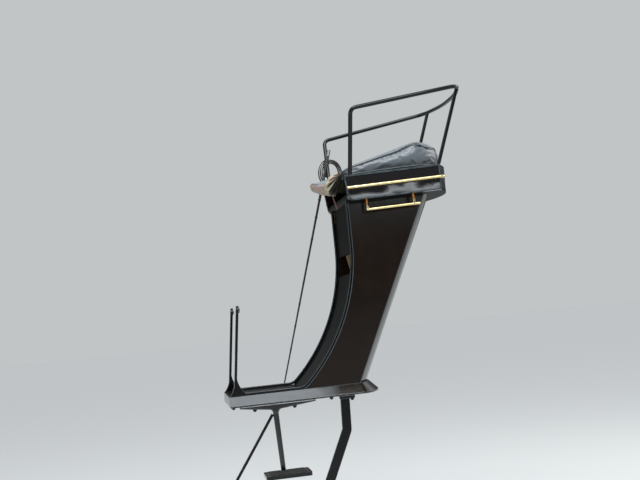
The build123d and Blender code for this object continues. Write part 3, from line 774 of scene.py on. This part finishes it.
def cushion_plan(u, v):
    """A place in plan, in millimetres, for u from the front, -1, to the rear, 1, and v across."""
    corner = mix(front_corner, rear_corner, smooth_step(-1.0, 1.0, u)) / cushion_half
    round_u = u * (1.0 - 0.5 * corner * max(0.0, abs(v) - 1.0 + corner) ** 2 / corner ** 2)
    round_v = v * (1.0 - 0.5 * corner * max(0.0, abs(u) - 1.0 + corner) ** 2 / corner ** 2)
    rear = cushion_rear + cushion_bow * (1.0 - round_v ** 2)
    return mix(cushion_front, rear, (round_u + 1.0) / 2), cushion_half * round_v


def cushion_place(u, v, w):
    """A place on the cushion, for u and v as in plan and w from the underside, -1, to the top, 1."""
    x, y = cushion_plan(u, v)
    high = cushion_height(x)
    crown = cushion_crown * (1.0 - abs(v) ** 3) * (1.0 - max(0.0, u) ** 5)
    rear_fall = cushion_fall * (max(0.0, u - fall_start) / (1.0 - fall_start)) ** 1.2
    z = mix(0.0, high - rear_fall, (w + 1.0) / 2)
    if w > 0.999:
        z += crown
    pull = 1.0 + cushion_swell * (1.0 - w * w) / cushion_half
    return seat_point((x - swell_middle) * pull + swell_middle, y * pull, seat_high + cushion_clear + z)


# start x, start height over the rim, run along x, run in height, width and depth of each tuck
cushion_tucks = (
    (318.0, 82.0, -50.0, -12.0, 3.6, 4.5),
    (330.0, 70.0, -46.0, -20.0, 4.0, 2.2),
    (342.0, 24.0, -46.0, -16.0, 4.0, 4.5),
    (357.0, 24.0, -20.0, 14.0, 3.6, 4.0),
    (352.0, 50.0, -42.0, -8.0, 4.0, 2.0),
    (20.0, 14.0, 60.0, 10.0, 4.0, 1.4),
    (120.0, 8.0, 90.0, 14.0, 7.0, 1.0),
)
# the tucks come in between these distances from the middle
tuck_reach = (120.0, 190.0)


def cushion_crease(x, y, z):
    """How far the tucks sink the hide at a place on the cushion's sides, in millimetres."""
    sink = 0.0
    for x0, z0, run, rise, wide, deep in cushion_tucks:
        length = math.hypot(run, rise)
        part = ((x - x0) * run + (z - z0) * rise) / length ** 2
        off = abs((x - x0) * rise - (z - z0) * run) / length
        if -0.1 < part < 1.0:
            fade = smooth_step(-0.1, 0.15, part) * (1.0 - smooth_step(0.35, 1.0, part))
            sink += deep * fade * math.exp(-((off / wide) ** 2))
    return sink * smooth_step(*tuck_reach, abs(y))


bpy.ops.mesh.primitive_cube_add(size=2.0)
cushion = name_piece("seat_cushion")
edit_mesh((bpy.ops.mesh.subdivide, {"number_cuts": 24}))
for vertex in cushion.data.vertices:
    vertex.co = cushion_place(*vertex.co)
apply_modifier(cushion, "REMESH", mode="VOXEL", voxel_size=5.0 * MM)
start_places = [v.co.copy() for v in cushion.data.vertices]
cloth = cushion.modifiers.new("cloth", "CLOTH")
cloth.settings.use_pressure = True
cloth.settings.uniform_pressure_force = 4.0
cloth.settings.effector_weights.gravity = 0.0
cloth.settings.quality = 5
cloth.settings.tension_stiffness = 15.0
cloth.settings.bending_stiffness = 0.4
cloth_frames = 16
for number in range(1, cloth_frames + 1):
    bpy.context.scene.frame_set(number)
pick(cushion)
bpy.ops.object.modifier_apply(modifier="cloth")
bpy.context.scene.frame_set(1)
most_sideways = 9.0 * MM
most_upwards = 4.0 * MM
for vertex, first in zip(cushion.data.vertices, start_places):
    moved = vertex.co - first
    sideways = Vector((moved.x, moved.y, 0.0))
    sideways *= min(1.0, most_sideways / max(sideways.length, 1e-9))
    vertex.co = first + sideways + Vector((0.0, 0.0, min(moved.z, most_upwards)))
apply_modifier(cushion, "SUBSURF", levels=1, render_levels=1)
cushion.data.update()
# how far the swollen hide may go down, forwards and sideways, in the seat box's frame
lowest = seat_high + 0.4
foremost = 0.5
side_limit = 211.0
for vertex in cushion.data.vertices:
    local = vertex.co - seat_origin
    x, y, z = local.dot(seat_along) / MM, local.y / MM, local.dot(seat_up) / MM
    sink = cushion_crease(x, y, z - seat_high)
    side = math.copysign(1.0, y)
    y = side * min(abs(y), side_limit) - side * sink
    vertex.co = seat_point(max(x, foremost), y, max(z, lowest))
settle(cushion, HIDE, "cushion_leather", 60.0)
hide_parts("cushion")

cushion_tree = BVHTree.FromObject(cushion, bpy.context.evaluated_depsgraph_get())


def welt(name, height_part, radius, finish):
    """A piped seam, or a dark cord that stands for the shade under one, that follows the cushion's edge at a
    share of its height.
    """
    side_steps = 60
    # the share of its radius by which a seam's middle stands off the hide
    stand_off = 0.35
    edge = []
    for side in range(4):
        for i in range(side_steps):
            run = -1.0 + 2.0 * i / side_steps
            edge.append(((run, -1.0), (1.0, run), (-run, 1.0), (-1.0, -run))[side])
    places = []
    for u, v in edge:
        guess = cushion_place(u, v, 2.0 * height_part - 1.0)
        found, normal, _, _ = cushion_tree.find_nearest(guess)
        places.append(found + normal * radius * stand_off)
    count = len(places)
    smooth = [sum((places[(i + k) % count] for k in (-2, -1, 0, 1, 2)), Vector()) / 5 for i in range(count)]
    sides = 8
    points = []
    for i in range(count):
        ahead = (smooth[(i + 1) % count] - smooth[i - 1]).normalized()
        first = ahead.cross(Vector((0.0, 0.0, 1.0))).normalized()
        second = ahead.cross(first)
        for k in range(sides):
            angle = math.tau * k / sides
            points.append(smooth[i] + (first * math.cos(angle) + second * math.sin(angle)) * radius)
    faces = []
    for i in range(count):
        faces.extend(bridge(sides * i, (i + 1) % count * sides, sides))
    return settle(mesh_piece(name, points, faces), finish, "cushion_leather", 60.0)


welt("cushion_welt", 1.04, 2.6 * MM, HIDE)
# a thin black cord just under the welt: a painted shadow line for the shade beneath the welt
welt("cushion_welt_shadow_cord", 0.93, 1.8 * MM, BINDING)
welt("cushion_low_welt", 0.05, 2.0 * MM, HIDE)

# flap: the worn front of the cushion, gathered at its left hand end
flap_half = 198.0
# outline at the left and at the right end: how far forwards of the box, how high over the rim
flap_near = ((0, 22), (0, -24), (30, -66), (54, -60), (62, -24), (37, 6))
flap_far = ((0, 42), (0, -4), (24, 0), (54, 10), (57, 39), (28, 43))
# the middle of its stuffing: how far forwards, and how high at the left and at the right end
core_out = 24.0
core_near_high = -12.0
core_far_high = 20.0
# its gap to the box, and how far it sags at its middle
flap_clear = 0.6
flap_sag = 5.0
# the distance from the box at which its folds reach their full depth
fold_reach = 14.0
flap_stations = 96
flap_samples = 96
# corners of the outline, counted from its first, where the hide turns from below to the front and to the top
front_turn = (2.0, 2.6)
top_turn = (4.15, 4.4)
TAUPE = Vector(linear("#ab988a")[:3])
KHAKI = Vector(linear("#aca388")[:3])
OLIVE = Vector(linear("#15130c")[:3])
# slate: a painted reflection of the sky on the black hide's top
PAINTED_SKY_SHEEN = Vector(linear("#7b868b")[:3])


def closed_outline(corners, samples):
    """Points on the closed curve that the corners steer, with rounded corners."""
    count = len(corners)
    found = []
    for i in range(samples):
        spot = i * count / samples
        k = int(spot)
        t = spot - k
        a, b, c, d = (corners[(k + n) % count] for n in (-1, 0, 1, 2))
        weights = ((1 - t) ** 3, 3 * t ** 3 - 6 * t * t + 4, 1 + 3 * t + 3 * t * t - 3 * t ** 3, t ** 3)
        round_point = [sum(w * p[n] for w, p in zip(weights, (a, b, c, d))) / 6 for n in (0, 1)]
        found.append([mix(mix(b[n], c[n], t), round_point[n], 0.45) for n in (0, 1)])
    return found


near_line = closed_outline(flap_near, flap_samples)
far_line = closed_outline(flap_far, flap_samples)


def flap_fold(part, around, forwards):
    """How far the hide stands out, in millimetres: slack folds, which are deeper at its gathered end."""
    spot = Vector((part * 7.0, around * 5.0, 2.0))
    slack = noise.noise(spot) * 3.0 + noise.noise(spot * 2.7) * 1.4
    gather = math.exp(-part * 11.0) * math.sin(around * math.tau * 9.0 + 2.0 * noise.noise(spot)) * 2.6
    # a roll of hide round the gathered end, and the furrow beside it
    ridge = 3.0 * math.exp(-(((part - 0.07) / 0.05) ** 2))
    furrow = -4.0 * math.exp(-(((part - 0.15) / 0.03) ** 2))
    return (slack + gather + (ridge + furrow)) * min(1.0, forwards / fold_reach)


def flap_tone(part, around, high):
    """The hide's colour with painted light and shade: slate on top, a painted reflection of the sky, worn to
    taupe in front, khaki where its left hand end is rubbed, and painted shade in its roll, its folds and
    under that end.
    """
    corner = around * len(flap_near)
    patch = noise.noise(Vector((part * 11.0, around * 9.0, 7.0)))
    top = smooth_step(*top_turn, corner + 0.25 * patch)
    front = smooth_step(*front_turn, corner + 0.3 * patch) * (1.0 - top)
    shown = OLIVE.lerp(TAUPE, front).lerp(PAINTED_SKY_SHEEN, top)
    # a painted shadow line where the top is rolled over, towards the right hand end
    rolled = math.exp(-(((corner - 4.25) / 0.15) ** 2)) * smooth_step(0.45, 0.7, part)
    shown = shown.lerp(OLIVE, min(1.0, rolled))
    # the gathered end, rubbed pale, with painted shade darkening it underneath
    rubbed = (1.0 - smooth_step(0.06, 0.13, part + 0.02 * patch)) * smooth_step(*front_turn, corner)
    band = KHAKI.lerp(TAUPE, 0.7 * smooth_step(4.2, 5.2, corner))
    shown = shown.lerp(OLIVE.lerp(band, smooth_step(-68.0, -48.0, high + 6.0 * patch)), rubbed)
    # dark lines on the front: painted shade of its folds
    crack = abs(noise.noise(Vector((part * 16.0 + around * 14.0, around * 30.0, 3.0))))
    if corner < 4.3:
        shown = shown * mix(0.45, 1.0, smooth_step(0.0, 0.1, crack))
    far_rim = smooth_step(0.965, 0.985, part) * front
    return shown.lerp(KHAKI, far_rim)


flap_points = []
flap_tones_and_light = []
for station in range(flap_stations + 1):
    part = station / flap_stations
    core_high = mix(core_near_high, core_far_high, part)
    sag = flap_sag * math.sin(math.pi * part)
    for i in range(flap_samples):
        reach = mix(near_line[i][0], far_line[i][0], part)
        high = mix(near_line[i][1], far_line[i][1], part)
        out = Vector((reach - core_out, high - core_high))
        out = out.normalized() * flap_fold(part, i / flap_samples, max(0.0, reach))
        forwards = flap_clear + max(0.0, reach + out.x)
        across = mix(-flap_half, flap_half, part)
        flap_points.append(seat_point(-forwards, across, seat_high + high + out.y - sag))
        flap_tones_and_light.append(flap_tone(part, i / flap_samples, high))
flap_faces = []
for station in range(flap_stations):
    flap_faces.extend(bridge(station * flap_samples, (station + 1) * flap_samples, flap_samples))


def close_end(first, side, line, pull, folds):
    """Closes an end of the flap with folds of hide that run in to the place where it is pulled tight.

    first is the number of its outline's first point, side the way across and line the outline.
    """
    rings = 20
    # how near to the pull the last ring of points comes
    last_ring = 0.97
    for ring in range(1, rings + 1):
        inward = ring / rings
        next_first = len(flap_points)
        for i in range(flap_samples):
            reach = max(0.0, mix(line[i][0], pull[0], inward * last_ring))
            high = mix(line[i][1], pull[1], inward * last_ring)
            around = i / flap_samples
            phase = around * math.tau * folds + 2.5 * noise.noise(Vector((around * 6.0, inward * 2.0, 5.0)))
            fold = 6.0 * min(1.0, 5.0 * inward) * (1.0 - inward) * math.sin(phase)
            swell = math.sqrt(max(0.0, 1.0 - (1.0 - min(1.0, inward * 4.0)) ** 2))
            bulge = 4.0 * swell * (1.0 - 0.6 * inward)
            across = side * (flap_half + bulge + fold)
            flap_points.append(seat_point(-flap_clear - reach, across, seat_high + high))
            # painted light and shade: where light would fall, on the upper front of the gathered end and on
            # one side of each fold, it shows rubbed khaki and taupe, and its lower rear part and the folds'
            # other sides are painted black as shade
            painted_lit = 0.8 * reach + 0.8 * (high - 20.0) + 12.0 * math.sin(phase + 0.8) * (1.0 - 0.5 * inward)
            shown = KHAKI.lerp(TAUPE, smooth_step(-22.0, 0.0, high))
            flap_tones_and_light.append(OLIVE.lerp(shown, smooth_step(-5.0, 5.0, painted_lit)))
        flap_faces.extend(bridge(first, next_first, flap_samples))
        first = next_first
    flap_faces.append(tuple(range(first, first + flap_samples)))


close_end(0, -1.0, near_line, (4.0, 8.0), 9)
close_end(flap_stations * flap_samples, 1.0, far_line, (10.0, 22.0), 7)
flap = mesh_piece("cushion_flap", flap_points, flap_faces)
# the hide's colours, with their painted light and shade, go into a colour attribute
tone = flap.data.color_attributes.new("hide_tone", "FLOAT_COLOR", "POINT")
for shown, colour in zip(flap_tones_and_light, tone.data):
    colour.color = (*shown, 1.0)
settle(flap, WORN, "worn_leather", 60.0)
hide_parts("cushion_front")

# the strap end that hangs from under the flap: its top, how far it hangs and how far it swings back
strap_top = Vector((-34.0, -150.0, seat_high - 40.0))
strap_drop = 71.0
strap_swing = 12.0
strap_steps = 16
hang = []
for step in range(strap_steps + 1):
    part = step / strap_steps
    back = strap_swing * part ** 2
    hang.append(seat_point(strap_top.x + back, strap_top.y, strap_top.z - strap_drop * part))
hang_across = [Vector((0.0, 1.0, 0.0))] * len(hang)
strap_piece = strap("flap_strap", hang, hang_across, 16.0 * MM, 2.6 * MM, (False, True))
settle(strap_piece, TAN, "strap_leather", 50.0)
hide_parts("strap_end")

# whip: a tapered stick with its knots, a bound grip and a collar
whip_low = Vector((231.0, 160.0, 28.2)) * MM
whip_high = Vector((504.3, 253.3, 899.6)) * MM
whip_way = (whip_high - whip_low).normalized()
whip_long = (whip_high - whip_low).length
grip_start = 0.8 * whip_long
knot_spacing = 88.0 * MM
grip_radius = 5.3
thin_end = 2.6
thick_end = 4.6
bpy.ops.mesh.primitive_circle_add(vertices=16, radius=thin_end * MM, fill_type="NGON")
stick = name_piece("whip_wood_stick")
bpy.ops.object.mode_set(mode="EDIT")
stick_radius = thin_end * MM
stick_steps = 90
for i in range(stick_steps):
    spot = (i + 1) / stick_steps
    beat = (spot * grip_start / knot_spacing) % 1.0
    knot = 1.0 + 0.22 * math.exp(-(((beat - 0.5) / 0.05) ** 2))
    radius = mix(thin_end, thick_end, spot) * MM * knot
    bpy.ops.mesh.extrude_region_move(TRANSFORM_OT_translate={"value": (0.0, 0.0, grip_start / stick_steps)})
    bpy.ops.transform.resize(value=(radius / stick_radius, radius / stick_radius, 1.0))
    stick_radius = radius
bpy.ops.mesh.select_all(action="SELECT")
bpy.ops.mesh.normals_make_consistent(inside=False)
bpy.ops.object.mode_set(mode="OBJECT")
stick.data.transform(facing(whip_low, whip_way))
settle(stick, HOLLY, "whip_wood", 50.0)
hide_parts("whip_stick")

bpy.ops.mesh.primitive_cylinder_add(vertices=20, radius=grip_radius * MM, depth=whip_long - grip_start)
grip = name_piece("whip_grip")
edit_mesh((bpy.ops.mesh.bevel, {"offset": 0.8 * MM, "segments": 2}))
grip.data.transform(facing((whip_low + whip_way * (whip_long + grip_start) / 2), whip_way))
settle(grip, BINDING, "strap_leather", 40.0)
bpy.ops.mesh.primitive_torus_add(
    major_segments=28, minor_segments=10, major_radius=4.9 * MM, minor_radius=1.3 * MM)
collar = name_piece("whip_collar")
edit_mesh((bpy.ops.transform.resize, {"value": (1.0, 1.0, 2.6)}))
collar.data.transform(facing(whip_low + whip_way * grip_start, whip_way))
settle(collar, BINDING, "strap_leather", 50.0)

# fasteners, each kind modelled once: a nut on its washer with the bolt's end in it, and a bolt head
nut_parts = []
# name, corners round it, radius, height, height of its middle and bevel, in millimetres
for name, corners, radius, tall, middle, chamfer in (
    ("nut_model", 6, 7.2, 5.6, 4.0, 0.9),
    ("washer_model", 24, 8.6, 1.8, 0.7, 0.5),
    ("bolt_end_model", 18, 3.8, 9.0, 4.6, 0.9),
):
    bpy.ops.mesh.primitive_cylinder_add(
        vertices=corners, radius=radius * MM, depth=tall * MM, location=(0.0, 0.0, middle * MM))
    nut_parts.append(name_piece(name))
    edit_mesh((bpy.ops.mesh.bevel, {"offset": chamfer * MM, "segments": 2}))
nut = nut_parts[0]
for part in nut_parts:
    part.select_set(True)
bpy.context.view_layer.objects.active = nut
bpy.ops.object.join()
settle(nut, IRON, "iron_black", 30.0)

# a bolt head is the cap of a sphere, cut off above its middle and flattened
cap_cut = 3.0 * MM
cap_flatness = 0.62
bpy.ops.mesh.primitive_uv_sphere_add(segments=24, ring_count=12, radius=11.0 * MM)
head = name_piece("bolt_head_model")
edit_mesh(
    (bpy.ops.mesh.bisect, {
        "plane_co": (0.0, 0.0, cap_cut), "plane_no": (0.0, 0.0, 1.0), "clear_inner": True, "use_fill": True,
    }),
    (bpy.ops.transform.translate, {"value": (0.0, 0.0, -cap_cut)}),
    (bpy.ops.transform.resize, {"value": (1.0, 1.0, cap_flatness), "center_override": (0.0, 0.0, 0.0)}),
)
settle(head, WORN_STEEL, "steel_cap", 40.0)

step_y = -190.0
# place in millimetres, and the way the fastener points
under_fasteners = (
    ("flange_nut_front", (83.0, step_y, -30.0), (-0.12, 0.0, -1.0)),
    ("flange_nut_rear", (221.0, step_y, -31.2), (0.1, 0.0, -1.0)),
    ("foot_nut_left", (12.0, -160.0, -17.8), (0.0, 0.0, -1.0)),
    ("foot_nut_right", (12.0, 160.0, -17.8), (0.0, 0.0, -1.0)),
    ("bar_nut_rear", (425.0, step_y, -27.8), (0.0, 0.0, -1.0)),
    ("bar_nut_front", (352.0, step_y, -17.8), (0.0, 0.0, -1.0)),
)
for name, place, way in under_fasteners:
    place_copy(nut, name, facing(Vector(place) * MM, way))
iron_bolt = Vector((56.13, 160.0, 314.0))
iron_face = Vector((0.993218, 0.0, -0.116277))
# how far a bolt head's flat face lies from the middle of the iron
head_seat = 4.4
for hand, side in (("left", -1.0), ("right", 1.0)):
    place = Vector((iron_bolt.x, side * iron_bolt.y, iron_bolt.z)) * MM + iron_face * head_seat * MM
    place_copy(head, "iron_bolt_" + hand, facing(place, iron_face))
tread_rivets = (
    ("upper_tread_rivet", (161.0, step_y, -259.8)),
    ("lower_tread_rivet", (210.6, step_y, -535.0)),
)
for name, place in tread_rivets:
    place_copy(head, name, facing(Vector(place) * MM, (0.0, 0.0, -1.0)))
for model in (nut, head):
    bpy.data.objects.remove(model)

# floor, world and lamps
bpy.context.scene.view_settings.view_transform = "Standard"
floor_half = 60.0
floor_z = -0.62
floor_mesh = bpy.data.meshes.new("floor")
floor_corners = [(x * floor_half, y * floor_half, floor_z) for x, y in ((-1, -1), (1, -1), (1, 1), (-1, 1))]
floor_mesh.from_pydata(floor_corners, [], [(0, 1, 2, 3)])
floor = link_new("floor", floor_mesh)
floor_paint, floor_tree, floor_shader, _ = start_material("studio_floor")
feed(floor_tree, floor_shader, {"Base Color": linear("#cbcbc9"), "Roughness": 0.95})
floor.data.materials.append(floor_paint)

world = bpy.data.worlds.new("studio")
bpy.context.scene.world = world
world.use_nodes = True
sky = world.node_tree
sky.nodes.clear()
way = add_node(sky, "ShaderNodeTexCoord").outputs["Generated"]
lift = spread(sky, along(sky, way, (0.0, 0.0, 1.0)), -1.0, 1.0)
# a dark band lies along the horizon, so that upright gloss paint stays black, and the sky is bright above it
shade = set_ramp(sky, lift, (
    (0.0, (0.5, 0.5, 0.48, 1)), (0.49, (0.3, 0.3, 0.3, 1)), (0.51, (0.06, 0.06, 0.06, 1)),
    (0.61, (0.09, 0.095, 0.1, 1)), (0.7, (0.9, 0.95, 1.0, 1)), (1.0, (1.0, 1.04, 1.08, 1)),
))
from_camera = add_node(sky, "ShaderNodeLightPath").outputs["Is Camera Ray"]
choice = add_node(sky, "ShaderNodeMixShader", {"Fac": from_camera})
# the sky that lights the scene, and the plain one that the camera sees
for number, colour in ((1, shade), (2, linear("#c1c5c6"))):
    screen = add_node(sky, "ShaderNodeBackground", {"Strength": 1.0, "Color": colour})
    sky.links.new(screen.outputs["Background"], choice.inputs[number])
add_node(sky, "ShaderNodeOutputWorld", {"Surface": choice.outputs["Shader"]})


def add_softbox(name, place, target, size, radiance, tint):
    """An oblong lamp, given its width and height, that faces a point."""
    lamp = bpy.data.lights.new(name, "AREA")
    lamp.shape = "RECTANGLE"
    lamp.size, lamp.size_y = size
    lamp.energy = radiance * math.pi * size[0] * size[1]
    lamp.color = tint
    holder = link_new(name, lamp)
    aim = (Vector(target) - Vector(place)).to_track_quat("-Z", "Y")
    holder.matrix_world = Matrix.Translation(place) @ aim.to_matrix().to_4x4()


add_softbox("top_box", (0.2, 0.0, 3.8), (0.2, 0.0, 0.0), (1.5, 1.4), 4.0, (0.82, 0.92, 1.0))
add_softbox("post_box", (0.1, -2.1, 3.6), (0.45, 0.2, 0.8), (2.4, 1.0), 7.0, (0.9, 0.97, 1.0))
add_softbox("key_box", (1.3, -2.9, 3.1), (0.6, 0.0, 0.8), (2.2, 1.6), 6.0, (0.98, 1.0, 1.0))
add_softbox("strip_box", (1.3, -4.4, 1.15), (0.62, -0.23, 0.72), (2.4, 0.045), 8.0, (0.88, 0.95, 1.0))
add_softbox("left_box", (-3.2, -1.7, 0.95), (0.2, 0.0, 0.2), (0.9, 1.9), 5.0, (0.84, 0.94, 1.0))
add_softbox("rear_box", (3.6, 0.6, 1.8), (0.6, 0.0, 0.5), (1.6, 1.6), 3.0, (0.99, 1.0, 0.98))
